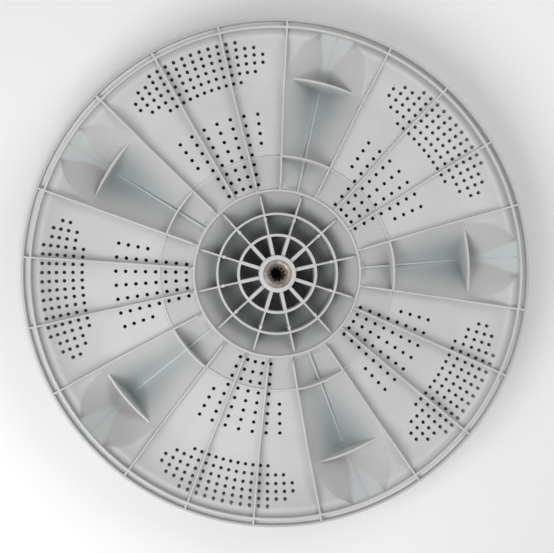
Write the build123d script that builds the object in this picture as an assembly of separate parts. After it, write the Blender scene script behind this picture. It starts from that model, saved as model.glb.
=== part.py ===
# Washing machine pulsator: the low, five-vaned agitator disc from the bottom of a top-loading
# washing machine's tub. It lies wash side down, so that its ribbed underside faces up.
#
# Frame: the origin is on the spline's axis, in the plane that the five vane tips stand on.
# +Z is up, out of the mouth of the splined hub. +X lies 4 degrees short of the first vane.
# Lengths are in millimetres, angles in degrees counter-clockwise about +Z.
from build123d import *
from math import asin, atan2, cos, degrees, radians, sin, sqrt, tan
import os

# The moulding as a whole
rim_radius = 170.0            # outer skirt
plate_wall = 2.5              # thickness of the plate, the vanes and the dome
vane_depth = 26.0             # hollow of a vane below the flat of the plate
vane_count = 5
first_vane_angle = 4.0

# The plate's edge, which curves up to the rim
bend_width = 35.0             # from the end of the flat out to the brim
bend_rise = 16.2              # how much higher the curve ends
bend_steps = 2                # straight steps that the curve is built from
brim_width = 4.8              # from the curve's end to the ring rib
brim_slope = 10.0

# The rim: a skirt, a groove and a ring rib inside it
skirt_height = 5.3            # top of the skirt and the ring rib above the curve's end
skirt_wall = 1.5
groove_width = 3.1
groove_depth = 4.3
ring_rib_wall = 1.6
corner_cut = 2.0              # bevel of the skirt's lower corner

# The hub: a dome with rings and spokes around the boss
dome_radius = 57.2            # where the dome meets the flat, in the middle of the outer ring
dome_lift = 2.0               # how far the dome's crown stays above the vane tips
hub_rib_height = 1.5          # tops of rings and spokes above the flat
boss_radius = 12.8
boss_height = 3.5             # top of the boss above the flat
inner_ring_radius = 26.6
inner_ring_wall = 1.9
middle_ring_radius = 41.2
outer_hub_ring_wall = 1.6     # the middle ring and the outer ring
spoke_count = 12
first_spoke_angle = 12.5
spoke_wall = 2.4              # between the boss and the inner ring
thin_spoke_wall = 1.2         # from there to the outer ring
spoke_drop = 2.6              # the notch at a spoke's outer end, as long as it is deep

# The ribs on the plate
rib_wall = 1.4
rib_height = 6.0              # above the flat
rib_ramp = 4.0                # length of the slope down to the outer hub ring
panel_rib_offset = 8.0        # from the middle of a perforated panel
vane_half_angle = 12.25       # from the middle of a vane to the ribs beside it
low_ring_gap = 23.1           # from the outer hub ring out to the low ring
low_ring_wall = 1.4
low_ring_height = 1.2         # across the perforated panels

# The vanes
vane_start_gap = 2.0          # from the outer hub ring to the hollow's inner end
vane_start_depth = 3.0
vane_end_gap = 1.8            # from the nose's end to the ring rib
nose_length = 27.0            # from the tip, where the arc rib stands, to the nose's end
vane_shoulder = 2.8           # from the hollow's edge to the rib beside it, at the tip
valley_half_width = 4.0       # of the fan along the valley, at the tip
valley_rounding = 0.6         # how far the fan dips between its edges, 1 for evenly rounded
nose_rounding = 0.15          # the same on the nose
vane_lid = 3.0                # how far the cutting forms of the vanes pass above the plate
cut_margin = 1.0              # how far the other cutting forms pass a face
arc_rib_wall = 1.6
arc_rib_drop = 5.0            # top of the arc rib below the flat
keel_wall = 1.2               # the low rib along the middle of a vane
keel_gap = 17.0               # from the tip in to where its top runs into the valley
nose_keel_height = 5.0        # above the valley, at the arc rib

# The nose of a vane, outside its tip: part of the way out, then the widths at the plate and of
# the fan face as shares of the tip's, and the part of the rise from the valley to the brim
nose_sections = (
    (0.35, 0.97, 0.11, 0.14),
    (0.75, 0.83, 0.20, 0.55),
    (1.00, 0.53, 0.42, 0.96),
)

# The perforations nearest the hub in each panel, each a small six-sided hole
hole_radius = 1.3
hole_sides = 6
hole_first_gap = 5.2          # from the outer hub ring out to the first row
hole_row_pitch = 6.9
hole_rows = 2
hole_columns = 5
hole_pitch_angle = 5.0

# The metal insert with the drive spline
insert_radius = 9.75
insert_length = 20.0
insert_chamfer = 1.9          # at the mouth
spline_teeth = 11
first_tooth_angle = 6.7
spline_root_radius = 5.3
spline_tip_radius = 4.1
spline_tooth_share = 0.42     # of a pitch, at the tips
spline_gap_share = 0.40       # of a pitch, at the roots
end_wall = 3.0                # closes the spline's far end
screw_hole_radius = 3.3
screw_passage_radius = 4.2    # through the moulding under the insert
screw_recess_radius = 11.0
screw_seat_height = 7.0       # top of the recess above the vane tips

# Worked out from those, from the rim inwards and from the hub outwards
skirt_inside = rim_radius - skirt_wall
ring_rib_outside = skirt_inside - groove_width
ring_rib_inside = ring_rib_outside - ring_rib_wall
bend_end = ring_rib_inside - brim_width
bend_start = bend_end - bend_width
bend_radius = (bend_width**2 + bend_rise**2) / (2 * bend_rise)
bend_angle = degrees(asin(bend_width / bend_radius))
vane_end = ring_rib_inside - vane_end_gap
vane_peak = vane_end - nose_length
vane_peak_half_width = vane_peak * tan(radians(vane_half_angle)) - vane_shoulder
keel_end = vane_peak - keel_gap
vane_start = dome_radius + outer_hub_ring_wall / 2 + vane_start_gap
low_ring_radius = dome_radius + low_ring_gap
pitch_angle = 360 / vane_count
vane_angles = [first_vane_angle + pitch_angle * i for i in range(vane_count)]
panel_angles = [angle + pitch_angle / 2 for angle in vane_angles]
flat = vane_depth + plate_wall
rim_top = flat + bend_rise + skirt_height
hub_rib_top = flat + hub_rib_height
boss_top = flat + boss_height
insert_bottom = boss_top - insert_length
dome_crown = dome_lift + plate_wall
dome_rise = flat - dome_crown
dome_sphere = (dome_radius**2 + dome_rise**2) / (2 * dome_rise)


def plate_height(radius):
    """Height of the plate's upper face: flat, then an arc, then the brim."""
    if radius <= bend_start:
        return flat
    if radius <= bend_end:
        return flat + bend_radius - sqrt(bend_radius**2 - (radius - bend_start)**2)
    return plate_height(bend_end) + (radius - bend_end) * tan(radians(brim_slope))


def bend_point(offset, angle):
    """A point on the plate's bend, at an offset below the upper face."""
    reach = bend_radius + offset
    return (bend_start + reach * sin(radians(angle)), flat + bend_radius - reach * cos(radians(angle)))


def turned(profile, sweep=360.0, start=0.0):
    """A face in the XZ plane, revolved about the axis from a start angle."""
    return Rot(0, 0, start) * revolve(profile, Axis.Z, sweep)


def dome_point(radius, offset):
    """A point on the dome at an offset below its upper face, on the ray through a radius there."""
    angle = asin(radius / dome_sphere)
    reach = dome_sphere + offset
    return (reach * sin(angle), dome_crown + dome_sphere - reach * cos(angle))


def bend_line(offset):
    """The bend as straight steps, at an offset below the upper face."""
    return [bend_point(offset, bend_angle * step / bend_steps) for step in range(bend_steps + 1)]


def envelope_profile():
    """Half section of the whole moulding with nothing hollowed out, without the vanes."""
    dome = [dome_point(radius, plate_wall) for radius in (0, inner_ring_radius, middle_ring_radius)]
    rise = dome_sphere + dome_crown - flat + plate_wall
    dome_edge = (sqrt((dome_sphere + plate_wall)**2 - rise**2), flat - plate_wall)
    brim_under = plate_height(ring_rib_outside) - plate_wall
    rim = [(rim_radius - corner_cut, brim_under), (rim_radius, brim_under + corner_cut),
           (rim_radius, rim_top), (0, rim_top)]
    return Plane.XZ * make_face(Polyline(*dome, dome_edge, *bend_line(plate_wall), *rim, close=True))


def hollow_profile():
    """Half section of the space over the plate: the dish inside the ring rib."""
    dome = [dome_point(radius, 0) for radius in (0, inner_ring_radius, middle_ring_radius,
                                                 dome_radius)]
    above = rim_top + plate_wall
    edge = [(ring_rib_inside, plate_height(ring_rib_inside)), (ring_rib_inside, above), (0, above)]
    return Plane.XZ * make_face(Polyline(*dome, *bend_line(0), *edge, close=True))


def groove_profile():
    """Half section of the groove between the ring rib and the skirt."""
    with BuildSketch(Plane.XZ) as sketch:
        with Locations(((ring_rib_outside + skirt_inside) / 2, rim_top - groove_depth)):
            Rectangle(groove_width, groove_depth + plate_wall, align=(Align.CENTER, Align.MIN))
    return sketch.sketch


def vane_section(place, half_width, top, fan, bottom, rounding, skin):
    """Points of the outline across a vane at a distance from the axis, moved outwards by a skin.

    A side runs straight from the plate to the foot at the fan's edge, and the fan's two halves
    dip from the feet to the bottom in the middle: with rounding 1, half of the turn there.
    """
    turn = atan2(top - bottom, half_width - fan)
    sag = fan * tan(turn / 2) * rounding
    side = atan2(top - bottom - sag, half_width - fan)
    dip = atan2(sag, fan)
    mitre = skin / (1 + cos(side - dip))
    foot = (fan + mitre * (sin(side) + sin(dip)), bottom + sag - mitre * (cos(side) + cos(dip)))
    lid = top + vane_lid
    head = (foot[0] + (lid - foot[1]) / tan(side), lid)
    half = [head, foot, (0, bottom - skin)]
    mirrored = [(-across, height) for across, height in half[1::-1]]
    return [Vector(place, across, height) for across, height in half + mirrored]


def skinned(sections):
    """A closed solid of flat facets through outlines with equally many points."""
    count = len(sections[0])
    facets = [Face(Wire.make_polygon(sections[0])), Face(Wire.make_polygon(sections[-1]))]
    for near, far in zip(sections, sections[1:]):
        for here in range(count):
            there = (here + 1) % count
            if here < count / 2:
                corners = ((near[here], near[there], far[there]), (near[here], far[there], far[here]))
            else:
                corners = ((near[here], near[there], far[here]), (near[there], far[there], far[here]))
            facets += [Face(Wire.make_polygon(corner)) for corner in corners]
    return Solid(Shell(facets))


def vane(start, skin):
    """A vane's form along +X, from a start radius out to the brim: its hollow, or with a skin
    its outside."""
    spread = tan(radians(vane_half_angle))
    length = vane_peak - vane_start
    valley = flat - vane_depth

    def hub_end(place):
        part = (place - vane_start) / length
        width = vane_start * spread * (1 - part) + vane_peak_half_width * part
        bottom = flat - vane_start_depth * (1 - part) - vane_depth * part
        fan = valley_half_width * place / vane_peak
        return vane_section(place, width, flat, fan, bottom, valley_rounding, skin)

    def nose(part, width_share, fan_share, rise):
        place = vane_peak + nose_length * part
        width, fan = vane_peak_half_width * width_share, vane_peak_half_width * fan_share
        bottom = valley + (plate_height(vane_end) - valley) * rise
        return vane_section(place, width, plate_height(place), fan, bottom, nose_rounding, skin)

    middle = (vane_start + vane_peak) / 2
    inner = [hub_end(place) for place in (start, middle, vane_peak)]
    return skinned(inner + [nose(*section) for section in nose_sections])


def wall(points, thickness):
    """An upright wall in the XZ plane, from the vane tips' plane up to the line through points."""
    outline = [(points[0][0], 0)] + list(points) + [(points[-1][0], 0)]
    return extrude(Plane.XZ * make_face(Polyline(*outline, close=True)), thickness / 2, both=True)


def ring(radius, thickness, top, sweep=360.0, start=0.0):
    """An upright ring or arc about the axis, from the vane tips' plane up to its top."""
    profile = Plane.XZ * Pos(radius, 0) * Rectangle(thickness, top, align=(Align.CENTER, Align.MIN))
    return turned(profile, sweep, start)


def hub_web():
    """Boss, rings and spokes."""
    boss = extrude(Circle(boss_radius), boss_top)
    rings = [
        ring(inner_ring_radius, inner_ring_wall, hub_rib_top),
        ring(middle_ring_radius, outer_hub_ring_wall, hub_rib_top),
        ring(dome_radius, outer_hub_ring_wall, hub_rib_top),
    ]
    notch_end = dome_radius - outer_hub_ring_wall / 2
    thick = wall([(0, hub_rib_top), (inner_ring_radius, hub_rib_top)], spoke_wall)
    thin = wall([(inner_ring_radius, hub_rib_top), (notch_end - 2 * spoke_drop, hub_rib_top),
                 (notch_end - spoke_drop, hub_rib_top - spoke_drop),
                 (dome_radius, hub_rib_top - spoke_drop)], thin_spoke_wall)
    angles = [first_spoke_angle + 360 / spoke_count * i for i in range(spoke_count)]
    spokes = [Rot(0, 0, angle) * piece for angle in angles for piece in (thick, thin)]
    return [boss] + rings + spokes


def plate_web():
    """Radial ribs of the plate, the low ring and the taller pieces of it across the vanes."""
    foot = dome_radius + outer_hub_ring_wall
    rib = wall([(dome_radius, hub_rib_top - spoke_drop / 2), (foot, hub_rib_top - spoke_drop / 2),
                (foot + rib_ramp, flat + rib_height), (bend_start, flat + rib_height),
                (ring_rib_inside + ring_rib_wall / 2, rim_top),
                (skirt_inside + skirt_wall / 2, rim_top)], rib_wall)
    offsets = (-panel_rib_offset, panel_rib_offset,
               vane_half_angle - pitch_angle / 2, pitch_angle / 2 - vane_half_angle)
    ribs = [Rot(0, 0, angle + offset) * rib for angle in panel_angles for offset in offsets]
    low = ring(low_ring_radius, low_ring_wall, flat + low_ring_height)
    tall = [ring(low_ring_radius, low_ring_wall, flat + rib_height, 2 * vane_half_angle,
                 angle - vane_half_angle) for angle in vane_angles]
    return ribs + [low] + tall


def vane_web():
    """In each vane, the arc rib over the tip and the low keel each side of it."""
    arc = ring(vane_peak, arc_rib_wall, flat - arc_rib_drop, 2 * vane_half_angle, -vane_half_angle)
    valley_end = flat - vane_depth * (keel_end - vane_start) / (vane_peak - vane_start)
    keel = wall([(dome_radius, hub_rib_top), (low_ring_radius, hub_rib_top), (keel_end, valley_end)],
                keel_wall)
    nose_keel = wall([(vane_peak, flat - vane_depth + nose_keel_height),
                      (vane_end, plate_height(vane_end))], keel_wall)
    return [Rot(0, 0, angle) * piece for angle in vane_angles for piece in (arc, keel, nose_keel)]


def perforations():
    """The rows of holes nearest the hub, in every panel."""
    drill = extrude(RegularPolygon(hole_radius, hole_sides), plate_wall + 2 * cut_margin)
    first = dome_radius + hole_first_gap
    columns = [hole_pitch_angle * (column - (hole_columns - 1) / 2) for column in range(hole_columns)]
    return [Rot(0, 0, angle + column) * Pos(first + hole_row_pitch * row, 0,
                                            flat - plate_wall - cut_margin) * drill
            for row in range(hole_rows) for column in columns for angle in panel_angles]


def insert_blank():
    """Outside of the insert, and the seat for it in the boss."""
    return Pos(0, 0, insert_bottom) * extrude(Circle(insert_radius), insert_length)


def spline_outline():
    """Outline of the splined socket: straight-sided teeth between root and tip circles."""
    pitch = radians(360 / spline_teeth)
    corners = []
    for tooth in range(spline_teeth):
        for share, radius in ((-spline_gap_share / 2, spline_root_radius),
                              (spline_gap_share / 2, spline_root_radius),
                              (0.5 - spline_tooth_share / 2, spline_tip_radius),
                              (0.5 + spline_tooth_share / 2, spline_tip_radius)):
            angle = radians(first_tooth_angle) + (tooth - 0.5 + share) * pitch
            corners.append((radius * cos(angle), radius * sin(angle)))
    return make_face(Polyline(*corners, close=True))


def spline_insert():
    """The metal insert: a splined socket with an end wall that the clamping screw passes."""
    socket = Pos(0, 0, insert_bottom + end_wall) * extrude(spline_outline(), insert_length)
    screw_hole = Pos(0, 0, insert_bottom) * extrude(Circle(screw_hole_radius), insert_length)
    bevel_base = spline_root_radius + insert_chamfer
    bevel = Pos(0, 0, boss_top - insert_chamfer) * Cone(
        spline_root_radius, bevel_base, insert_chamfer, align=(Align.CENTER, Align.CENTER, Align.MIN))
    return insert_blank() - socket - screw_hole - bevel


def pulsator_moulding():
    """The one-piece moulding: envelope, less its hollows, with the ribs left standing."""
    outside = vane(vane_start - 4 * cut_margin, plate_wall)
    inside = vane(vane_start, 0)
    envelope = turned(envelope_profile()) + [Rot(0, 0, angle) * outside for angle in vane_angles]
    hollow = turned(hollow_profile()) + [Rot(0, 0, angle) * inside for angle in vane_angles]
    hollow += turned(groove_profile())
    hollow -= hub_web() + plate_web() + vane_web()
    body = envelope - hollow
    body -= Pos(0, 0, rim_top) * extrude(Circle(rim_radius), rim_top)
    body -= perforations()
    recess = extrude(Circle(screw_recess_radius), screw_seat_height)
    passage = extrude(Circle(screw_passage_radius), insert_bottom + cut_margin)
    return body - recess - passage - insert_blank()


nodes = {"pulsator_disc": pulsator_moulding(), "spline_insert": spline_insert()}
os.makedirs("parts", exist_ok=True)
for name, shape in nodes.items():
    shape.label = name
    export_step(shape, f"parts/{name}.step")
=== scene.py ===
# Washing machine pulsator: the looks of its moulded disc and splined insert, laid over the packed
# frame. It lies wash side down on its five vane tips, with the ribbed underside up.
# Shapes are worked out in millimetres and stored in metres, in the frame's own coordinates.
from math import asin, pi, radians, sin, tan

import bpy
import numpy as np
from bpy.props import FloatProperty, FloatVectorProperty, PointerProperty
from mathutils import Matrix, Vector


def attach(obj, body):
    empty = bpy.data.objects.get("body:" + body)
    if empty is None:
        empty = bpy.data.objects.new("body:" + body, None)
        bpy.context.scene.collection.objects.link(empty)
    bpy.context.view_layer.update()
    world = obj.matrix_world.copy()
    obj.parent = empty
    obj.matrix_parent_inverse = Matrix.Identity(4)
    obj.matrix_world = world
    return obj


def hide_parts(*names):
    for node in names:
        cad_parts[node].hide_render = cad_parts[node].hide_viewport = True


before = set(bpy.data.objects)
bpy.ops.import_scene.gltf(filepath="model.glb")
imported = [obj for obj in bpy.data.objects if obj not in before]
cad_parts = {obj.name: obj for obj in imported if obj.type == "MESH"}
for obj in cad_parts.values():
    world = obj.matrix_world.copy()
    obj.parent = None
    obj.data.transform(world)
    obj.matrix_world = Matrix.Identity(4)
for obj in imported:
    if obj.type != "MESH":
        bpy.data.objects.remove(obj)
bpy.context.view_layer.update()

bl_info = {
    "name": "Washing machine pulsator",
    "version": (1, 0, 0),
    "blender": (4, 5, 0),
    "location": "3D View > Sidebar > Pulsator",
    "description": "Moulded disc, hub webs, ribs, splined insert and studio of a pulsator",
    "category": "Object",
}

MM = 0.001                       # metres

# The disc, as in the frame (millimetres and degrees)
VANES = 5
FIRST_VANE = 4.0
PITCH = 360.0 / VANES
FLAT = 28.5                      # height of the plate's ribbed face
PLATE_WALL = 2.5
BEND_START, BEND_END = 124.0, 159.0
BEND_RISE = 16.2
BEND_RADIUS = ((BEND_END - BEND_START)**2 + BEND_RISE**2) / (2 * BEND_RISE)
BEND_ANGLE = asin((BEND_END - BEND_START) / BEND_RADIUS)
BRIM_SLOPE = tan(radians(10.0))
BRIM_UNDER = 43.28               # highest that the wash face comes, inside the skirt
RIM_TOP = 50.0
RIM_RADIUS = 170.0
RING_INSIDE, RING_OUTSIDE = 163.8, 165.4
SKIRT_INSIDE = 168.5
GROOVE_FLOOR = 45.7
EDGE = 0.6                       # depth of the rounded edges of the rim

# The hub
SHELL_INSIDE = 57.5              # inner edge of the plate's own surface, in the outer hub ring
SHELL_FOOT = 58.25               # inner edge of its wash face
DOME_CROWN = 4.5
DOME_SPHERE = 80.2
RIB_TOP = 30.0
BOSS_TOP = 32.0
BOSS_RADIUS = 12.8
INSERT_RADIUS = 9.75
INSERT_FOOT = 12.0
RECESS_RADIUS, RECESS_TOP = 11.0, 7.0
PASSAGE_RADIUS = 4.2             # from the recess up to the insert
HUB_RINGS = ((26.6, 1.9), (41.2, 1.6), (57.2, 1.6))    # middle radius and wall
FILLET = 0.7                     # where a ring meets the dome
SPOKES = 12
FIRST_SPOKE = 12.5
THICK_HALF, THIN_HALF = 1.2, 0.6    # half a spoke's thickness inside the first ring and past it
NOTCH, NOTCH_DEPTH = 56.4, 2.6   # where a spoke's top has come down at 45 degrees, and how far
PIP, PIP_REACH = 38.3, 1.15      # the small swelling on a spoke

# The ribs on the plate
WALL_TAPER = 0.12                # draft of ribs, each side, from top to foot
ROOTING = 1.2                    # how far the foot of a rib goes into the plate or the dome
RIB_HALF = 0.62                  # half the thickness
RIB_HEIGHT = 6.0                 # above the flat of the plate
PANEL_RIB = 8.0                  # from the middle of a panel
VANE_RIB = 12.25                 # from the middle of a vane
LOW_RING, LOW_RING_HEIGHT = 80.3, 1.2
ARC_REACH, ARC_DROP = 9.7, 5.0   # of the arc rib, each side, and its top below the flat
ARC_RIB_HALF = 0.8
KEEL_HALF = 0.7

# The insert's spline, bevel and screw hole
TEETH = 11
ROOT_RADIUS, TIP_CIRCLE = 5.3, 4.1
FIRST_TOOTH = 6.7
FLANK = (0.36, 0.6)              # from a tooth's middle, where its side starts and ends; 1: a gap's
STEPS_PER_TOOTH = 16
BEVEL = 1.9
END_WALL = 3.0
SCREW_HOLE = 3.3

# The perforations: radius of each row and how many columns lie each side of the middle
INNER_ROWS = ((62.4, 2), (69.5, 2), (76.4, 2), (83.2, 2),
              (90.1, 3), (96.8, 3), (103.5, 3), (110.1, 3))
OUTER_ROWS = ((132.8, 5), (138.7, 7), (144.2, 8), (149.1, 8), (153.5, 7), (157.6, 5))
INNER_COLUMN = 5.0               # degrees
OUTER_COLUMN = 2.25
INNER_REACH, OUTER_REACH = 3, 8  # the most columns each side of the middle
PANEL_HALF = 21.5                # degrees from the middle of a panel to the vane's patch

# A vane's hollow: a valley that deepens to the tip, and a nose that climbs from there to the rim.
# Each row has a radius, the half width at the plate and the half width of the fan, which is the
# flat along the bottom. The nose's rows end with the part of its rise to the brim reached there.
TIP_RADIUS, TIP_HEIGHT = 135.0, 1.9
BRIM_RADIUS = 162.0
START_DEPTH = 3.0                # of the valley, where its first row is
VALLEY = ((60.0, 13.0, 1.8), (TIP_RADIUS, 26.5, 4.0))
NOSE = ((TIP_RADIUS, 26.5, 3.0, 0.0), (143.1, 25.8, 3.0, 0.115), (150.1, 24.5, 3.6, 0.32),
        (157.1, 20.0, 6.6, 0.63), (BRIM_RADIUS, 14.0, 11.0, 0.87), (SKIRT_INSIDE, 9.0, 9.0, 1.15))
ENTRY, ENTRY_LENGTH = 58.2, 3.0  # where the hollow starts to sink, and over what length
UNDER_SOFTER = 1.5               # how much rounder its corners are on the wash face

# Rounding of a vane's corners, half width of the strip of painted light along its nose and
# height of its keel: radii, then the values there
SOFT_SIDES = ((60, 120, 135, 137, 150, 162), (2.0, 4.0, 4.0, 1.6, 1.0, 1.2))
PAINTED_LIGHT_STRIP = ((135, 145, 151, 157, 162), (1.6, 2.2, 4.2, 8.0, 11.0))
KEEL_RISE = ((57.8, 62, 80, 110, 131, 135, 145, 160), (1.3, 2.4, 2.4, 1.4, 0.4, 1.0, 0.6, 0.2))


# Lines and surfaces

def plate_top(radius):
    """Height of the ribbed face: flat, then an arc, then a straight brim."""
    along = np.clip(radius, BEND_START, BEND_END) - BEND_START
    arc = FLAT + BEND_RADIUS - np.sqrt(BEND_RADIUS**2 - along**2)
    return arc + np.clip(np.asarray(radius) - BEND_END, 0, None) * BRIM_SLOPE


def plate_under(radius):
    """Height of the wash face: the same line, a wall's thickness along its normal."""
    reach = BEND_RADIUS + PLATE_WALL
    end = BEND_START + reach * sin(BEND_ANGLE)
    along = np.clip(radius, BEND_START, end) - BEND_START
    arc = FLAT + BEND_RADIUS - np.sqrt(reach**2 - along**2)
    return np.minimum(arc + np.clip(np.asarray(radius) - end, 0, None) * BRIM_SLOPE, BRIM_UNDER)


def dome(radius, offset=0.0):
    """Height of the hub's dome: a sphere's cap, moved down by an offset along its normal."""
    return DOME_CROWN + DOME_SPHERE - np.sqrt((DOME_SPHERE + offset)**2 - np.asarray(radius)**2)


def soft_ramp(value, width):
    """Zero below 0 and the value above, with the corner rounded to a hyperbola of that width."""
    return 0.5 * (value + np.sqrt(value**2 + width**2))


def through(x, stations, values):
    """A smooth line through stations: cubics whose slopes are the central differences."""
    stations, values = np.asarray(stations, float), np.asarray(values, float)
    slope = np.gradient(values, stations)
    i = np.clip(np.searchsorted(stations, x, side="right") - 1, 0, len(stations) - 2)
    gap = stations[i + 1] - stations[i]
    t = np.clip((x - stations[i]) / gap, 0, 1)
    return (values[i] * (1 + 2 * t) * (1 - t)**2 + slope[i] * gap * t * (1 - t)**2
            + values[i + 1] * t**2 * (3 - 2 * t) + slope[i + 1] * gap * t**2 * (t - 1))


def vane_lines(radius):
    """Half width, fan half width, bottom height, its slope and corner rounding along a vane.

    Widths change evenly along the valley and run smoothly through the nose's rows. The bottom is
    an even ramp down to the tip, then the nose's rise, with a rounded corner between them.
    """
    near, far = VALLEY
    nose = np.array(NOSE)
    part = (radius - near[0]) / (far[0] - near[0])
    width = np.where(radius < TIP_RADIUS, near[1] + (far[1] - near[1]) * part,
                     through(radius, nose[:, 0], nose[:, 1]))
    fan = np.where(radius < TIP_RADIUS, near[2] + (far[2] - near[2]) * part,
                   through(radius, nose[:, 0], nose[:, 2]))
    fan = np.minimum(fan, width - 1.5)
    ramp = FLAT - START_DEPTH - (FLAT - START_DEPTH - TIP_HEIGHT) * part
    brim = plate_top(BRIM_RADIUS)
    rise = TIP_HEIGHT + (brim - TIP_HEIGHT) * through(radius, nose[:, 0], nose[:, 3])
    # Inside the tip the rise runs on straight down, so that its corner with the ramp is rounded
    rise = np.where(radius < TIP_RADIUS, TIP_HEIGHT + (radius - TIP_RADIUS) * 0.6, rise)
    bottom = ramp + soft_ramp(rise - ramp, 1.2)
    entry = np.clip((radius - ENTRY) / ENTRY_LENGTH, 0, 1)
    bottom = FLAT - (FLAT - bottom) * entry
    slope = np.gradient(bottom, radius)
    return width, fan, bottom, slope, np.interp(radius, *SOFT_SIDES)


def above_bottom(across, fan, soft):
    """The rounded ramp up a vane's side: none in the middle, then the distance past the fan."""
    return soft_ramp(np.abs(across) - fan, soft) - soft_ramp(-fan, soft)


def vane_columns(radius, width, fan, edge):
    """Places across half a vane on each row: over the fan, up the side and out to the edge."""
    over = np.array([0, 0.5, 0.85]) * fan[:, None]
    side = np.array([0, 0.06, 0.16, 0.36, 0.62, 0.86, 0.95, 1.0])
    up = fan[:, None] + side * (width - fan)[:, None]
    out = width[:, None] + np.array([0.04, 0.12, 0.3, 0.55, 0.78, 1.0]) * (edge - width)[:, None]
    half = np.concatenate([over, up, out], axis=1)
    return np.concatenate([-half[:, :0:-1], half], axis=1)


def vane_patch(radius, under):
    """Places across (mm of arc) and heights of a vane on rows of the plate, and painted light.

    Across a vane the height is the bottom plus the side's slope times a rounded ramp of the
    distance past the fan's edge. The lower of that and the plate stands, with a soft corner.
    The share of painted light is 1 inside the strip, on the ribbed face of the nose, with soft
    edges.
    """
    width, fan, bottom, slope, soft = vane_lines(radius)
    top = plate_under(radius) if under else plate_top(radius)
    steep = np.maximum((plate_top(radius) - bottom) / (width - fan), 0.2)
    if under:
        leaning = np.sqrt(1 + steep**2 + slope**2)
        lying = np.sqrt(1 + slope**2)
        fan = fan + PLATE_WALL * (leaning - lying) / steep
        bottom = bottom - PLATE_WALL * np.minimum(lying, 1.8)
        soft = soft + UNDER_SOFTER
        width = np.maximum(fan + (top - bottom) / steep, fan + 1.0)
    edge = radius * radians(PITCH / 2 - PANEL_HALF)
    width = np.minimum(width, edge - 0.6)
    across = vane_columns(radius, width, fan, edge)
    hollow = (bottom[:, None]
              + steep[:, None] * above_bottom(across, fan[:, None], soft[:, None]))
    corner = np.clip(0.35 * steep * (edge - width), 0, 0.8)[:, None]
    height = top[:, None] - soft_ramp(top[:, None] - hollow, corner)
    height[:, [0, -1]] = top[:, None]
    # Painted light: the strip along the nose
    strip = np.interp(radius, *PAINTED_LIGHT_STRIP)
    share = np.clip((strip[:, None] - np.abs(across)) / 1.5 + 0.5, 0, 1)
    share = share * np.clip((radius - TIP_RADIUS) / 4, 0, 1)[:, None] * (not under)
    return across, height, share


# Meshes

def loop_faces(rows, columns, wrap_rows=False, wrap_columns=False):
    """Quads of a grid of vertices numbered row by row, with either direction closed."""
    i = np.arange(rows if wrap_rows else rows - 1)
    j = np.arange(columns if wrap_columns else columns - 1)
    i, j = np.meshgrid(i, j, indexing="ij")
    below, beside = (i + 1) % rows, (j + 1) % columns
    return np.stack([i * columns + j, below * columns + j,
                     below * columns + beside, i * columns + beside], axis=-1).reshape(-1, 4)


def turned(profile, columns):
    """A closed line of (radius, height) carried round the axis, as vertices and quads."""
    profile = np.asarray(profile, float)
    angle = np.arange(columns) * 2 * pi / columns
    radius, height = profile[:, :1], profile[:, 1:]
    points = np.stack([radius * np.cos(angle), radius * np.sin(angle),
                       height + 0 * angle], axis=-1).reshape(-1, 3)
    return points, loop_faces(len(profile), columns, True, True)


def joined(parts):
    """Several sets of vertices and quads as one."""
    counts = np.cumsum([0] + [len(points) for points, _ in parts])
    return (np.concatenate([points for points, _ in parts]),
            np.concatenate([faces + start for (_, faces), start in zip(parts, counts)]))


def webs(path, half, foot, top, rounding=0.35):
    """Upright walls along paths, as vertices and quads.

    path has a row of (x, y) points for each wall, and half, foot and top give the wall's half
    thickness, its foot's height and its top's height at each point. The section is a slab with
    slightly leaning sides and a rounded top, carried along the path square to it.
    """
    path = np.asarray(path, float)
    walls, stations = path.shape[:2]
    along = np.gradient(path, axis=1)
    along /= np.linalg.norm(along, axis=2, keepdims=True)
    beside = np.stack([-along[..., 1], along[..., 0]], axis=-1)
    half, foot, top = (np.broadcast_to(value, (walls, stations)) for value in (half, foot, top))
    tip = np.minimum(rounding, 0.8 * half)
    side = [(half + WALL_TAPER, foot), (half, top - tip), (half - 0.3 * tip, top - 0.3 * tip),
            (half - tip, top)]
    section = [(-reach, level) for reach, level in side] + side[::-1]
    across = np.stack([side for side, _ in section], axis=-1)
    height = np.stack([level for _, level in section], axis=-1)
    flat = path[:, :, None, :] + across[..., None] * beside[:, :, None, :]
    points = np.concatenate([flat, height[..., None]], axis=-1).reshape(-1, 3)
    faces = loop_faces(stations, 8, False, True)[:, ::-1]
    cap = np.array([(0, 1, 6, 7), (1, 2, 5, 6), (2, 3, 4, 5)])
    faces = np.concatenate([faces, cap, cap[:, ::-1] + (stations - 1) * 8])
    starts = np.arange(walls)[:, None, None] * stations * 8
    return points, (faces[None] + starts).reshape(-1, 4)


def spokes(angles, radii, half, foot, top, rounding=0.35):
    """Radial walls at angles in degrees, through radii."""
    angles = np.radians(np.asarray(angles, float))[:, None]
    radii = np.asarray(radii, float)[None, :]
    path = np.stack([radii * np.cos(angles), radii * np.sin(angles)], axis=-1)
    return webs(path, half, foot, top, rounding)


def arcs(angles, spread, radius, half, foot, top, stations):
    """Walls along arcs about the axis, each side of angles in degrees, by a spread."""
    turn = np.linspace(-spread, spread, stations)
    angle = np.radians(np.asarray(angles, float)[:, None] + turn[None, :])
    path = radius * np.stack([np.cos(angle), np.sin(angle)], axis=-1)
    return webs(path, half, foot, top)


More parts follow.
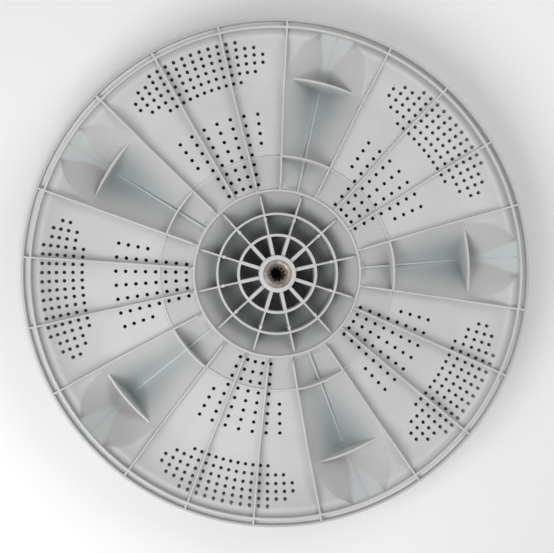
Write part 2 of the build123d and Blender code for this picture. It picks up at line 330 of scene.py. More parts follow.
def solid_piece(name, parts, material, sharp, fan=None):
    """Puts vertices (mm) and quads into a mesh object that rides on the root body.

    Edges turn sharp past an angle in degrees. fan is each vertex's share of painted light.
    """
    points, faces = joined(parts)
    mesh = bpy.data.meshes.new(name)
    mesh.vertices.add(len(points))
    mesh.vertices.foreach_set("co", (points * MM).astype(np.float32).ravel())
    mesh.loops.add(faces.size)
    mesh.loops.foreach_set("vertex_index", faces.astype(np.int32).ravel())
    mesh.polygons.add(len(faces))
    mesh.polygons.foreach_set("loop_start", np.arange(0, faces.size, 4, dtype=np.int32))
    mesh.polygons.foreach_set("use_smooth", np.ones(len(faces), dtype=bool))
    mesh.update(calc_edges=True)
    mesh.validate()
    mesh.set_sharp_from_angle(angle=radians(sharp))
    # The fan attribute carries painted light, on the noses' strips and the keels
    if fan is not None:
        mesh.attributes.new("fan", "FLOAT", "POINT").data.foreach_set("value", fan)
    mesh.materials.append(material)
    piece = bpy.data.objects.new(name, mesh)
    bpy.context.scene.collection.objects.link(piece)
    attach(piece, "root")
    return piece


# The plate with its vanes, perforations and rim

def row_bounds(rows):
    """Radii half way between the rows of holes, and as far again outside the first and last."""
    radii = np.array([radius for radius, _ in rows])
    middle = (radii[1:] + radii[:-1]) / 2
    return np.concatenate([[2 * radii[0] - middle[0]], middle, [2 * radii[-1] - middle[-1]]])


def divided(bounds, steps):
    """Each gap between bounds cut in equal steps."""
    bounds = np.asarray(bounds, float)
    part = np.arange(steps) / steps
    inside = bounds[:-1, None] + part * np.diff(bounds)[:, None]
    return np.append(inside.ravel(), bounds[-1])


CELL = 3                         # steps across a cell of the plate's grid
WIDE_CELL = 7                    # and round the inner field's cells
INNER_BESIDE, OUTER_BESIDE = 4, 3    # columns from a field to the vane's patch
INNER_RADII = divided(row_bounds(INNER_ROWS), CELL)
OUTER_RADII = divided(row_bounds(OUTER_ROWS), CELL)
BETWEEN = np.linspace(INNER_RADII[-1], OUTER_RADII[0], 6)[1:-1]
PLATE_RADII = np.concatenate([[SHELL_INSIDE], INNER_RADII, BETWEEN, OUTER_RADII,
                              [160.8, 161.8, 162.6, 163.3, RING_INSIDE]])
INNER_START = 1                  # index of a field's first row among those radii
OUTER_START = 1 + len(INNER_RADII) + len(BETWEEN)
RIM_LINE = ((RING_INSIDE, RIM_TOP - EDGE), (RING_INSIDE + 0.12, RIM_TOP - 0.18),
            (RING_INSIDE + 0.5, RIM_TOP), (RING_OUTSIDE - 0.5, RIM_TOP),
            (RING_OUTSIDE - 0.12, RIM_TOP - 0.18), (RING_OUTSIDE, RIM_TOP - EDGE),
            (RING_OUTSIDE, GROOVE_FLOOR + EDGE), (RING_OUTSIDE + 0.15, GROOVE_FLOOR + 0.15),
            (RING_OUTSIDE + 0.55, GROOVE_FLOOR), (SKIRT_INSIDE - 0.55, GROOVE_FLOOR),
            (SKIRT_INSIDE - 0.15, GROOVE_FLOOR + 0.15), (SKIRT_INSIDE, GROOVE_FLOOR + EDGE),
            (SKIRT_INSIDE, RIM_TOP - EDGE), (SKIRT_INSIDE + 0.12, RIM_TOP - 0.18),
            (SKIRT_INSIDE + 0.4, RIM_TOP), (RIM_RADIUS - 0.4, RIM_TOP),
            (RIM_RADIUS - 0.12, RIM_TOP - 0.18), (RIM_RADIUS, RIM_TOP - EDGE),
            (RIM_RADIUS, 45.6), (169.8, 44.5), (169.2, 43.6), (168.4, 43.3))
UNDER_RIM = (168.0, 167.0, 166.0, 165.0)    # further rows of the wash face, under the rim


def panel_columns(radii):
    """Angles of the grid's columns across a panel: the inner field's, and past it an even change
    with the radius into the outer field's."""
    fields = []
    for reach, spacing, steps, beside in ((INNER_REACH, INNER_COLUMN, WIDE_CELL, INNER_BESIDE),
                                          (OUTER_REACH, OUTER_COLUMN, CELL, OUTER_BESIDE)):
        half = spacing * (reach + 0.5)
        fields.append(np.concatenate([
            np.linspace(-PANEL_HALF, -half, beside + 1)[:-1],
            divided(np.linspace(-half, half, 2 * reach + 2), steps),
            np.linspace(half, PANEL_HALF, beside + 1)[1:]]))
    inner, outer = fields
    part = np.clip((radii - INNER_RADII[-1]) / (OUTER_RADII[0] - INNER_RADII[-1]), 0, 1)[:, None]
    return inner * (1 - part) + outer * part


def plate_sheet(radii, under):
    """Angles, heights and painted light shares of a fifth of the plate: a vane and the panel after
    it.
    """
    across, height, share = vane_patch(radii, under)
    vane_angle = np.degrees(across / radii[:, None])
    panel_angle = panel_columns(radii) + PITCH / 2
    level = plate_under(radii) if under else plate_top(radii)
    panel_height = np.repeat(level[:, None], panel_angle.shape[1], axis=1)
    return [np.concatenate([first[:, :-1], second[:, :-1]], axis=1) for first, second in
            ((vane_angle, panel_angle), (height, panel_height), (share, 0 * panel_height))]


def plate_grid():
    """Vertices and painted light shares of the plate: ribbed face out, over the rim, wash face
    back.
    """
    under_radii = np.concatenate([UNDER_RIM, PLATE_RADII[::-1]])
    top_angle, top_height, top_share = plate_sheet(PLATE_RADII, False)
    low_angle, low_height, low_share = (side[::-1] for side in
                                        plate_sheet(under_radii[::-1], True))
    rim = np.array(RIM_LINE)
    rim_angle = np.repeat(top_angle[-1:], len(rim), axis=0)
    rim_height = np.repeat(rim[:, 1:], rim_angle.shape[1], axis=1)
    radius = np.concatenate([PLATE_RADII, rim[:, 0], under_radii])[:, None, None]
    angle = np.concatenate([top_angle, rim_angle, low_angle])
    height = np.concatenate([top_height, rim_height, low_height])
    share = np.concatenate([top_share, 0 * rim_height, low_share])
    turn = FIRST_VANE + PITCH * np.arange(VANES)
    angle = np.radians(angle[:, None, :] + turn[None, :, None])
    points = np.stack([radius * np.cos(angle), radius * np.sin(angle),
                       np.repeat(height[:, None, :], VANES, axis=1)], axis=-1)
    return points.reshape(len(radius), -1, 3), np.tile(share, VANES)


def cell_rim(steps_out, steps_round):
    """Row and column offsets of a cell's boundary vertices, going round it once."""
    up = [(0, c) for c in range(steps_round)]
    right = [(r, steps_round) for r in range(steps_out)]
    down = [(steps_out, steps_round - c) for c in range(steps_round)]
    left = [(steps_out - r, 0) for r in range(steps_out)]
    return np.array(up + right + down + left)


def hole_cells():
    """First row, first column and column steps of every cell with a hole, with its middle."""
    vane_steps = vane_patch(PLATE_RADII, False)[0].shape[1] - 1
    fifth = vane_steps + panel_columns(PLATE_RADII).shape[1] - 1
    fields = ((INNER_ROWS, INNER_START, WIDE_CELL, vane_steps + INNER_BESIDE, INNER_REACH,
               INNER_COLUMN),
              (OUTER_ROWS, OUTER_START, CELL, vane_steps + OUTER_BESIDE, OUTER_REACH,
               OUTER_COLUMN))
    cells = []
    for rows, first_row, steps, first_column, reach, spacing in fields:
        for index, (radius, half) in enumerate(rows):
            for column in range(-half, half + 1):
                for vane in range(VANES):
                    place = first_column + steps * (column + reach) + vane * fifth
                    cells.append((first_row + CELL * index, place, steps, radius,
                                  FIRST_VANE + PITCH * (vane + 0.5) + spacing * column))
    return np.array(cells), fifth * VANES


def perforated_plate(hole_radius):
    """The plate as one closed surface: a grid with each hole's cell opened to a ring of quads.

    A cell's boundary joins a circle on the ribbed face and another on the wash face, and a wall
    joins the two circles.
    """
    points, share = plate_grid()
    rows = len(points)
    cells, columns = hole_cells()
    faces = loop_faces(rows, columns, True, True)
    keep = np.ones(len(faces), dtype=bool)
    extra_points, extra_faces = [points.reshape(-1, 3)], []
    count = rows * columns
    mirror = rows - 1            # less a row's number, it is the number of its wash face twin
    for steps in (CELL, WIDE_CELL):
        some = cells[cells[:, 2] == steps]
        row, column = some[:, 0].astype(int), some[:, 1].astype(int)
        inside_r, inside_c = np.meshgrid(np.arange(CELL), np.arange(steps), indexing="ij")
        r = row[:, None] + inside_r.ravel()
        c = (column[:, None] + inside_c.ravel()) % columns
        keep[(r * columns + c).ravel()] = False
        keep[((mirror - r - 1) * columns + c).ravel()] = False
        edge = cell_rim(CELL, steps)
        n = len(edge)
        edge_row, edge_column = row[:, None] + edge[:, 0], (column[:, None] + edge[:, 1]) % columns
        top_edge = edge_row * columns + edge_column
        low_edge = (mirror - edge_row) * columns + edge_column
        # Even steps round the circle, starting at the cell's first corner
        corner = pi + pi / 2 * steps / (CELL + steps)
        turn = corner - np.arange(n) * 2 * pi / n
        middle = np.radians(some[:, 4])[:, None]
        out = some[:, 3][:, None] + hole_radius * np.cos(turn)
        side = hole_radius * np.sin(turn)
        x = out * np.cos(middle) - side * np.sin(middle)
        y = out * np.sin(middle) + side * np.cos(middle)
        distance = np.hypot(x, y)
        top_ring = np.stack([x, y, plate_top(distance)], axis=-1).reshape(-1, 3)
        low_ring = np.stack([x, y, plate_under(distance)], axis=-1).reshape(-1, 3)
        top_index = count + np.arange(len(some) * n).reshape(-1, n)
        low_index = top_index + len(some) * n
        count += 2 * len(some) * n
        extra_points += [top_ring, low_ring]
        for a, b in ((top_edge, top_index), (top_index, low_index), (low_index, low_edge)):
            extra_faces.append(np.stack([a, b, np.roll(b, -1, axis=1), np.roll(a, -1, axis=1)],
                                        axis=-1).reshape(-1, 4))
    share = np.append(share.ravel(), np.zeros(count - share.size))
    return np.concatenate(extra_points), np.concatenate([faces[keep]] + extra_faces), share


# Shader expressions

class Shade:
    """A socket in a material's node tree. Sums and products of it add Math nodes."""

    def __init__(self, tree, socket=None):
        self.tree, self.socket = tree, socket

    def make(self, kind, settings=None, inputs=None, output=0):
        """Any node: its settings first, then the values or links of its sockets."""
        node = self.tree.nodes.new(kind)
        for key, value in (settings or {}).items():
            setattr(node, key, value)
        for key, value in (inputs or {}).items():
            if isinstance(value, Shade):
                self.tree.links.new(value.socket, node.inputs[key])
            else:
                node.inputs[key].default_value = value
        return Shade(self.tree, node.outputs[output])

    def math(self, operation, *values):
        """A Math node on values and sockets."""
        return self.make("ShaderNodeMath", {"operation": operation}, dict(enumerate(values)))

    def __add__(self, other):
        return self.math("ADD", self, other)

    def __radd__(self, other):
        return self.math("ADD", other, self)

    def __sub__(self, other):
        return self.math("SUBTRACT", self, other)

    def __rsub__(self, other):
        return self.math("SUBTRACT", other, self)

    def __mul__(self, other):
        return self.math("MULTIPLY", self, other)

    def __rmul__(self, other):
        return self.math("MULTIPLY", other, self)

    def step(self, low, high):
        """0 below low and 1 above high, eased between."""
        return self.make("ShaderNodeMapRange", {"interpolation_type": "SMOOTHSTEP"},
                         {"Value": self, "From Min": low, "From Max": high})

    def noise(self, coordinates, scale, detail):
        """Fractal noise of 0 to 1, with scale in features per metre."""
        return self.make("ShaderNodeTexNoise", {"noise_dimensions": "3D"},
                         {"Vector": coordinates, "Scale": scale, "Detail": detail,
                          "Roughness": 0.55})

    def mix(self, factor, first, second):
        """A colour between two colours."""
        settings = {"data_type": "RGBA", "clamp_factor": True}
        return self.make("ShaderNodeMix", settings, {0: factor, 6: first, 7: second}, 2)


def start_material(name):
    """A new material with its Principled shader, and what its expressions start from: an empty
    Shade, Object coordinates, the distance from the part's axis and the height."""
    material = bpy.data.materials.new(name)
    material.use_nodes = True
    shader = material.node_tree.nodes["Principled BSDF"]
    first = Shade(material.node_tree)
    place = first.make("ShaderNodeTexCoord", output=3)
    axes = first.make("ShaderNodeSeparateXYZ", inputs={0: place}).socket.node.outputs
    x, y, height = (Shade(first.tree, axis) for axis in axes)
    return material, shader, first, place, first.math("SQRT", x * x + y * y), height


def feed(node, **shades):
    """Links shades to a node's sockets, whose names have underscores for spaces here."""
    for name, shade in shades.items():
        shade.tree.links.new(shade.socket, node.inputs[name.replace("_", " ")])


def moulded_plastic(looks):
    """Pale moulded polypropylene: faint flow clouds and a fine grain. Painted shade makes it cooler
    and deeper in colour down in the vanes and the hub, on the plate inside the low ring, in the
    crease inside the rim's ring rib and on the rim's lip and skirt; painted light makes it lighter
    on the noses' strips, the keels and in the rim's groove."""
    material, shader, first, place, radius, height = start_material("moulded_plastic")
    clouds = first.noise(place, 16.0, 4.0)
    grain = first.noise(place, 900.0, 2.0)
    facing = first.make("ShaderNodeTexCoord", output=1)
    upward = first.make("ShaderNodeSeparateXYZ", inputs={0: facing}, output=2).step(-0.1, 0.1)
    # Each vertex's share of painted light, on the noses' strips and the keels
    fan = first.make("ShaderNodeAttribute", {"attribute_name": "fan"}, output=2)
    # Where each painted shade and painted light goes, by distance from the axis and height in
    # metres
    hub = 1 - radius.step(0.0563, 0.0575)
    nose = radius.step(TIP_RADIUS * MM - 0.003, TIP_RADIUS * MM + 0.002)
    # Painted shade down in the vanes, on upward faces below the flat, darker with depth
    vane_shade_mask = (1 - height.step(0.005, 0.029)) * (1 - hub) * (1 - nose) * upward
    # Painted shade on the plate inside the low ring, round the hub
    near_hub_shade = (1 - radius.step(0.078, 0.0803)) * (1 - height.step(0.029, 0.0305)) * upward
    # Painted shade deep in the hub, darker lower down
    hub_shade_mask = (1 - height.step(0.014, 0.0295)) * hub * upward
    # Painted shade in the crease between the plate and the rim's ring rib, off the strips
    crease_shade = radius.step(0.1585, 0.1634) * (1 - height.step(0.0462, 0.049)) * upward * (1 - fan)
    # Painted light in the rim's groove, against the shade of its depth
    groove = (radius.step(0.1655, 0.166) * (1 - radius.step(0.168, 0.1685))
              * (1 - height.step(0.0475, 0.0495)) * upward)
    # Painted shade on the rim's lip and skirt
    lip = radius.step(0.1681, 0.1687)
    colour = first.mix(clouds.step(0.35, 0.7), (*looks.plastic, 1), (*looks.plastic_cloud, 1))
    # Each tint is painted shade or painted light, mixed in by its mask
    for share, tint in ((vane_shade_mask, looks.vane_painted_shade), (near_hub_shade * 0.3 + crease_shade * 0.6, looks.hub_painted_shade),
                        (hub_shade_mask, looks.hub_painted_shade), (fan * 0.65, looks.strip_painted_light),
                        (groove, looks.groove_painted_light), (lip * 0.8, looks.rim_painted_shade)):
        colour = first.mix(share, colour, (*tint, 1))
    bump = first.make("ShaderNodeBump", inputs={"Strength": 0.12, "Distance": 0.0002,
                                                "Height": grain})
    feed(shader, Base_Color=colour, Roughness=0.42 + clouds * 0.1 + grain * 0.06, Normal=bump)
    return material


def plastic_finish(looks):
    """The moulding's material, made once for all its pieces."""
    return bpy.data.materials.get("moulded_plastic") or moulded_plastic(looks)


def cast_metal(looks):
    """Die-cast metal: turned rings, a warm tarnish and painted shade in the bore."""
    material, shader, first, place, radius, _ = start_material("cast_metal")
    tarnish = first.noise(place, 350.0, 4.0)
    grain = first.noise(place, 2500.0, 2.0)
    rings = first.math("SINE", radius * 9000.0)
    # Painted shade inside the deep bore
    bore = 1 - radius.step(0.0038, 0.0056)
    colour = first.mix(tarnish.step(0.35, 0.7), (*looks.metal, 1), (*looks.metal_tarnish, 1))
    colour = first.mix(bore * 0.75, colour, (*looks.bore_painted_shade, 1))
    bump = first.make("ShaderNodeBump", inputs={"Strength": 0.25, "Distance": 0.0001,
                                                "Height": rings * 0.5 + grain * 0.5})
    shader.inputs["Metallic"].default_value = 0.9
    feed(shader, Base_Color=colour, Roughness=0.3 + tarnish * 0.25, Normal=bump)
    return material


def floor_paint(studio):
    """A matt pale floor with a painted shadow under the disc: a dark patch, seen through the
    perforations, which ends in a soft edge round the rim."""
    material, shader, first, _, radius, _ = start_material("floor_paint")
    # Painted shadow under the disc, fading out past the rim
    open_floor = radius.step(0.165, 0.183)
    colour = first.mix(open_floor, (*studio.shadow_colour, 1), (*studio.floor_colour, 1))
    shader.inputs["Roughness"].default_value = 0.8
    feed(shader, Base_Color=colour)
    return material


def soft_surround(studio):
    """A surround that is bright all round and darker straight overhead."""
    world = bpy.data.worlds.new("surround")
    world.use_nodes = True
    background = world.node_tree.nodes["Background"]
    background.inputs["Color"].default_value = (1.0, 1.0, 1.0, 1)
    first = Shade(world.node_tree)
    direction = first.make("ShaderNodeTexCoord")
    rise = first.make("ShaderNodeSeparateXYZ", inputs={0: direction}, output=2)
    overhead = rise.step(0.55, 0.95)
    feed(background, Strength=studio.surround_strength * (1 - overhead)
         + studio.overhead_strength * overhead)
    return world


# Settings

def colour_setting(name, description, default):
    """A colour that a user can change."""
    return FloatVectorProperty(name=name, description=description, size=3, subtype="COLOR",
                               min=0, max=1, default=default)


class PulsatorLooks(bpy.types.PropertyGroup):
    """Colours, painted shade, painted light and sizes of the pulsator that a user would change."""

    plastic: colour_setting("Plastic", "Colour of the moulding", (0.60, 0.60, 0.595))
    plastic_cloud: colour_setting("Flow clouds", "The moulding's second shade", (0.55, 0.55, 0.548))
    # Painted shade down in the vanes
    vane_painted_shade: colour_setting("Vane tint", "Colour deep in the vanes", (0.345, 0.385, 0.39))
    # Painted shade deep in the hub, round it and in the crease inside the rim
    hub_painted_shade: colour_setting("Hub tint", "Colour deep in the hub", (0.31, 0.325, 0.325))
    # Painted light on the noses' strips and the keels
    strip_painted_light: colour_setting("Fan tint", "Colour of the strip on a nose", (0.66, 0.715, 0.73))
    # Painted light in the rim's groove
    groove_painted_light: colour_setting("Groove tint", "Colour of the rim's groove", (0.74, 0.745, 0.74))
    # Painted shade on the rim's lip and skirt
    rim_painted_shade: colour_setting("Rim tint", "Colour of the rim's lip and skirt", (0.46, 0.48, 0.475))
    metal: colour_setting("Metal", "Colour of the insert", (0.46, 0.41, 0.37))
    metal_tarnish: colour_setting("Tarnish", "The insert's darker patches", (0.27, 0.22, 0.19))
    # Painted shade inside the insert's bore
    bore_painted_shade: colour_setting("Bore", "Colour inside the insert's bore", (0.05, 0.035, 0.03))
    hole_radius: FloatProperty(name="Hole radius", description="Radius of a perforation",
                               subtype="DISTANCE", unit="LENGTH", min=0.0005, max=0.0016,
                               default=0.00128, precision=5)


class StudioSettings(bpy.types.PropertyGroup):
    """The camera and the light round the pulsator."""

    camera_place: FloatVectorProperty(name="Camera place", description="Where the camera stands",
                                      size=3, subtype="XYZ", unit="LENGTH",
                                      default=(-0.04993, 0.01952, 0.74851))
    camera_turn: FloatVectorProperty(name="Camera turn", description="Which way the camera looks",
                                     size=3, subtype="EULER", unit="ROTATION",
                                     default=(radians(-1.698), radians(-3.951), radians(0.032)))
    focal_length: FloatProperty(name="Focal length", description="On a 36 mm wide sensor",
                                subtype="DISTANCE_CAMERA", unit="CAMERA", min=20, max=200,
                                default=68.23)
    key_power: FloatProperty(name="Key light", description="Power of the stronger soft light",
                             subtype="POWER", unit="POWER", min=0, max=500, default=3.1)
    fill_power: FloatProperty(name="Fill light", description="Power of the soft light opposite",
                              subtype="POWER", unit="POWER", min=0, max=500, default=1.5)
    lamp_size: FloatProperty(name="Light size", description="Side of both square lights",
                             subtype="DISTANCE", unit="LENGTH", min=0.01, max=5, default=0.45)
    surround_strength: FloatProperty(name="Surround", description="Light from all round",
                                     min=0, max=5, default=0.5)
    overhead_strength: FloatProperty(name="Overhead", description="Light from straight above",
                                     min=0, max=5, default=0.15)
    floor_colour: colour_setting("Floor", "Colour of the floor", (0.96, 0.96, 0.96))
    # Painted shadow on the floor under the disc
    shadow_colour: colour_setting("Floor under", "Its colour under the disc", (0.05, 0.05, 0.05))


# Operators

def panel_middles():
    """Directions of the middles of the perforated panels."""
    return FIRST_VANE + PITCH * (np.arange(VANES) + 0.5)


def vane_middles():
    """Directions of the middles of the vanes."""
    return FIRST_VANE + PITCH * np.arange(VANES)


def surface_under(radius, spread):
    """Height of a vane's ribbed face at radii and distances across, for the feet of ribs.

    It is vane_patch's formula with the corner at the plate left sharp, on lines read off a grid.
    """
    grid = np.linspace(58, 168, 441)
    width, fan, bottom, _, soft = (np.interp(radius, grid, line) for line in vane_lines(grid))
    steep = (plate_top(radius) - bottom) / (width - fan)
    return np.minimum(bottom + steep * above_bottom(spread, fan, soft), plate_top(radius))


class PULSATOR_OT_plate(bpy.types.Operator):
    """Build the perforated plate with its vanes and rim"""

    bl_idname = "pulsator.plate"
    bl_label = "Build plate"

    def execute(self, context):
        looks = context.scene.pulsator_looks
        *part, fan = perforated_plate(looks.hole_radius / MM)
        plate = solid_piece("plate", [part], plastic_finish(looks), 32.0, fan)
        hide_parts("pulsator_disc")
        return {"FINISHED"}


def hub_line():
    """Closed half section of the hub: seat, boss, dome with its rings, wash face and recess."""
    line = [(INSERT_RADIUS, BOSS_TOP - 0.25), (INSERT_RADIUS + 0.15, BOSS_TOP),
            (BOSS_RADIUS - 0.6, BOSS_TOP), (BOSS_RADIUS - 0.18, BOSS_TOP - 0.18),
            (BOSS_RADIUS, BOSS_TOP - 0.6)]
    start = BOSS_RADIUS
    for middle, thickness in HUB_RINGS:
        inside, outside = middle - thickness / 2, middle + thickness / 2
        line += [(start, dome(start) + FILLET),
                 (start + 0.2 * FILLET, dome(start) + 0.35 * FILLET)]
        for radius in np.linspace(start + FILLET, inside - FILLET, 8):
            line.append((radius, dome(radius)))
        line += [(inside - 0.2 * FILLET, dome(inside) + 0.35 * FILLET),
                 (inside, dome(inside) + FILLET), (inside, RIB_TOP - 0.4),
                 (inside + 0.12, RIB_TOP - 0.12), (inside + 0.4, RIB_TOP),
                 (outside - 0.4, RIB_TOP), (outside - 0.12, RIB_TOP - 0.12),
                 (outside, RIB_TOP - 0.4)]
        start = outside
    line += [(start, FLAT - ROOTING), (SHELL_FOOT, FLAT - PLATE_WALL)]
    for radius in np.linspace(SHELL_FOOT, RECESS_RADIUS + 0.6, 24)[1:]:
        line.append((radius, dome(radius, PLATE_WALL)))
    line += [(RECESS_RADIUS, dome(RECESS_RADIUS, PLATE_WALL) + 0.4), (RECESS_RADIUS, RECESS_TOP),
             (PASSAGE_RADIUS, RECESS_TOP), (PASSAGE_RADIUS, INSERT_FOOT),
             (INSERT_RADIUS, INSERT_FOOT)]
    return np.array(line, float)


class PULSATOR_OT_hub(bpy.types.Operator):
    """Build the hub: boss, dome, rings and spokes"""

    bl_idname = "pulsator.hub"
    bl_label = "Build hub"

    def execute(self, context):
        looks = context.scene.pulsator_looks
        angles = FIRST_SPOKE + 360 / SPOKES * np.arange(SPOKES)
        inner_ring = HUB_RINGS[0][0]
        thick = np.linspace(BOSS_RADIUS - 1.0, inner_ring, 8)
        thin = np.concatenate([np.linspace(inner_ring, NOTCH - NOTCH_DEPTH, 12),
                               [NOTCH, NOTCH + 0.4]])
        thin_top = np.where(thin > NOTCH - 0.1, RIB_TOP - NOTCH_DEPTH, RIB_TOP)
        pip = np.linspace(PIP - 1.1, PIP + 1.1, 7)
        swell = 0.55 + 0.55 * np.sqrt(np.clip(1 - ((pip - PIP) / PIP_REACH)**2, 0, 1))
        parts = [turned(hub_line(), 192),
                 spokes(angles, thick, THICK_HALF, dome(thick) - ROOTING, RIB_TOP - 0.02),
                 spokes(angles, thin, THIN_HALF, dome(thin) - ROOTING, thin_top - 0.04, 0.3),
                 spokes(angles, pip, swell, dome(pip) - 1.0, RIB_TOP + 0.15, 0.3)]
        hub = solid_piece("hub", parts, plastic_finish(looks), 40.0)
        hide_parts("pulsator_disc")
        return {"FINISHED"}


class PULSATOR_OT_ribs(bpy.types.Operator):
    """Build the ribs on the plate and in the vanes"""

    bl_idname = "pulsator.ribs"
    bl_label = "Build ribs"

    def execute(self, context):
        looks = context.scene.pulsator_looks
        # Over the panels and beside the vanes: out of the hub's outer ring, up over the plate,
        # along its bend and through the rim into the skirt
        beside = PITCH / 2 - VANE_RIB
        sides = np.concatenate([panel_middles() + offset
                                for offset in (-PANEL_RIB, PANEL_RIB, -beside, beside)])
        radii = np.concatenate([[57.6, 58.8], np.linspace(61.6, BEND_START, 12),
                                np.linspace(128, RING_INSIDE, 9), [166.0, 169.0]])
        top = np.interp(radii, (58.8, 61.6, BEND_START, RING_INSIDE + 0.8),
                        (RIB_TOP - 0.1, FLAT + RIB_HEIGHT, FLAT + RIB_HEIGHT, RIM_TOP - 0.03))
        foot = np.minimum(np.minimum(plate_top(radii) - 1.3, top - 0.5), 44.5)
        parts = [spokes(sides, radii, RIB_HALF, foot, top)]
        # The low ring round the panels, and a taller rib across each vane in line with it
        parts.append(arcs(panel_middles(), beside, LOW_RING, RIB_HALF, FLAT - ROOTING,
                          FLAT + LOW_RING_HEIGHT, 60))
        spread = np.radians(np.linspace(-VANE_RIB, VANE_RIB, 25)) * LOW_RING
        foot = surface_under(LOW_RING, spread) - ROOTING
        parts.append(arcs(vane_middles(), VANE_RIB, LOW_RING, RIB_HALF, foot,
                          FLAT + RIB_HEIGHT, 25))
        # The arc rib over each tip
        spread = np.radians(np.linspace(-ARC_REACH, ARC_REACH, 41)) * TIP_RADIUS
        top = FLAT - ARC_DROP
        foot = np.minimum(surface_under(TIP_RADIUS, spread) - ROOTING, top - 0.6)
        parts.append(arcs(vane_middles(), ARC_REACH, TIP_RADIUS, ARC_RIB_HALF, foot, top, 41))
        # The low keel along each vane, inside the arc rib and outside it, with painted light like
        # the strip
        for radii in (np.linspace(57.8, 131, 40), np.linspace(TIP_RADIUS, RING_INSIDE, 20)):
            bottom = surface_under(radii, 0 * radii)
            parts.append(spokes(vane_middles(), radii, KEEL_HALF, bottom - ROOTING,
                                bottom + np.interp(radii, *KEEL_RISE)))
        counts = [len(points) for points, _ in parts]
        # The keels get 0.6 of the strip's painted light
        keel_painted_light = np.repeat(np.arange(len(parts)) >= len(parts) - 2, counts) * 0.6
        ribs = solid_piece("ribs", parts, plastic_finish(looks), 40.0, keel_painted_light)
        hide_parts("pulsator_disc")
        return {"FINISHED"}


def splined_insert():
    """The insert as one closed surface: rings of vertices from the rim of its face, down the
    bevel and the toothed bore, through the screw hole and back up the outside.

    A ring's radius is the circle's, or in the bore the larger of the bevel's cone and a
    trapezoid wave between the root circle and the tip circle.
    """
    columns = TEETH * STEPS_PER_TOOTH
    angle = np.arange(columns) * 2 * pi / columns
    phase = (angle - radians(FIRST_TOOTH)) * TEETH / (2 * pi)
    wave = np.abs((phase + 0.5) % 1 - 0.5) * 2           # 0 on a tooth, 1 in a gap
    tooth = np.interp(wave, FLANK, (TIP_CIRCLE, ROOT_RADIUS))
    top, foot, mouth = BOSS_TOP, INSERT_FOOT, ROOT_RADIUS + BEVEL
    rings = [(INSERT_RADIUS - 0.02, top - 0.5), (INSERT_RADIUS - 0.12, top - 0.15),
             (INSERT_RADIUS - 0.4, top), (8.4, top), (mouth + 0.15, top - 0.02),
             (mouth, top - 0.1)]
    circles = [(np.full(columns, radius), height) for radius, height in rings]
    bore = [(np.maximum(tooth, mouth - drop), top - 0.1 - drop)
            for drop in (0.6, 1.2, 1.7, 2.0, 2.4, 2.8, 3.2)]
    bore += [(tooth, height) for height in (26.0, 21.0, foot + END_WALL)]
    hole = [(np.full(columns, radius), height) for radius, height in
            ((SCREW_HOLE + 0.15, foot + END_WALL), (SCREW_HOLE, foot + END_WALL - 0.15),
             (SCREW_HOLE, foot), (6.0, foot), (INSERT_RADIUS - 0.3, foot),
             (INSERT_RADIUS - 0.02, foot + 0.3))]
    lines = (circles + bore + hole)[::-1]
    radius = np.array([ring for ring, _ in lines])
    height = np.array([level for _, level in lines])[:, None] + 0 * angle
    points = np.stack([radius * np.cos(angle), radius * np.sin(angle), height], axis=-1)
    return points.reshape(-1, 3), loop_faces(len(lines), columns, True, True)


class PULSATOR_OT_insert(bpy.types.Operator):
    """Build the metal insert with its splined bore"""

    bl_idname = "pulsator.insert"
    bl_label = "Build insert"

    def execute(self, context):
        looks = context.scene.pulsator_looks
        insert = solid_piece("insert", [splined_insert()], cast_metal(looks), 28.0)
        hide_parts("spline_insert")
        return {"FINISHED"}


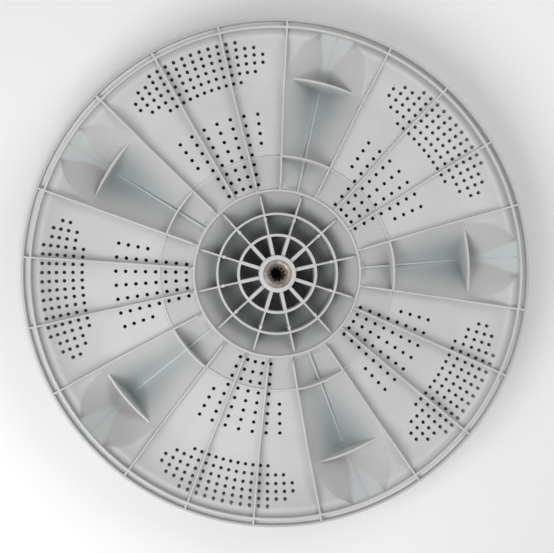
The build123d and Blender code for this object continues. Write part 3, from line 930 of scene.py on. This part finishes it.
class PULSATOR_OT_studio(bpy.types.Operator):
    """Set up the floor, the lights and the camera"""

    bl_idname = "pulsator.studio"
    bl_label = "Set up studio"

    def execute(self, context):
        scene, studio = context.scene, context.scene.pulsator_studio
        mesh = bpy.data.meshes.new("floor")
        reach = 30.0
        corners = [(-reach, -reach, 0), (reach, -reach, 0), (reach, reach, 0), (-reach, reach, 0)]
        mesh.from_pydata(corners, [], [(0, 1, 2, 3)])
        mesh.materials.append(floor_paint(studio))
        floor = bpy.data.objects.new("floor", mesh)
        scene.collection.objects.link(floor)

        scene.world = soft_surround(studio)
        for name, place, power in (("key", (-0.30, -0.26, 0.62), studio.key_power),
                                   ("fill", (0.33, 0.27, 0.62), studio.fill_power)):
            data = bpy.data.lights.new(name, "AREA")
            data.size, data.energy = studio.lamp_size, power
            lamp = bpy.data.objects.new(name, data)
            lamp.location = place
            lamp.rotation_euler = (-Vector(place)).to_track_quat("-Z", "Y").to_euler()
            scene.collection.objects.link(lamp)

        data = bpy.data.cameras.new("camera")
        data.lens, data.sensor_width, data.clip_start = studio.focal_length, 36.0, 0.01
        camera = bpy.data.objects.new("camera", data)
        camera.location = studio.camera_place
        camera.rotation_euler = studio.camera_turn
        scene.collection.objects.link(camera)
        scene.camera = camera
        scene.view_settings.view_transform = "Standard"
        return {"FINISHED"}


class PULSATOR_PT_panel(bpy.types.Panel):
    """The pulsator's settings and the steps that build it"""

    bl_idname = "PULSATOR_PT_panel"
    bl_label = "Pulsator"
    bl_space_type = "VIEW_3D"
    bl_region_type = "UI"
    bl_category = "Pulsator"

    def draw(self, context):
        column = self.layout.column()
        for group in (context.scene.pulsator_looks, context.scene.pulsator_studio):
            for name in group.__annotations__:
                column.prop(group, name)
        for step in STEPS:
            column.operator(step.bl_idname)


STEPS = (PULSATOR_OT_studio, PULSATOR_OT_plate, PULSATOR_OT_hub, PULSATOR_OT_ribs,
         PULSATOR_OT_insert)
CLASSES = (PulsatorLooks, StudioSettings, *STEPS, PULSATOR_PT_panel)


def register():
    """Adds the classes, and the settings to the scene."""
    for entry in CLASSES:
        bpy.utils.register_class(entry)
    bpy.types.Scene.pulsator_looks = PointerProperty(type=PulsatorLooks)
    bpy.types.Scene.pulsator_studio = PointerProperty(type=StudioSettings)


def unregister():
    """Takes them out again."""
    del bpy.types.Scene.pulsator_studio
    del bpy.types.Scene.pulsator_looks
    for entry in reversed(CLASSES):
        bpy.utils.unregister_class(entry)


def main():
    """Builds everything in order."""
    register()
    for step in STEPS:
        group, name = step.bl_idname.split(".")
        getattr(getattr(bpy.ops, group), name)()


if __name__ == "__main__":
    main()
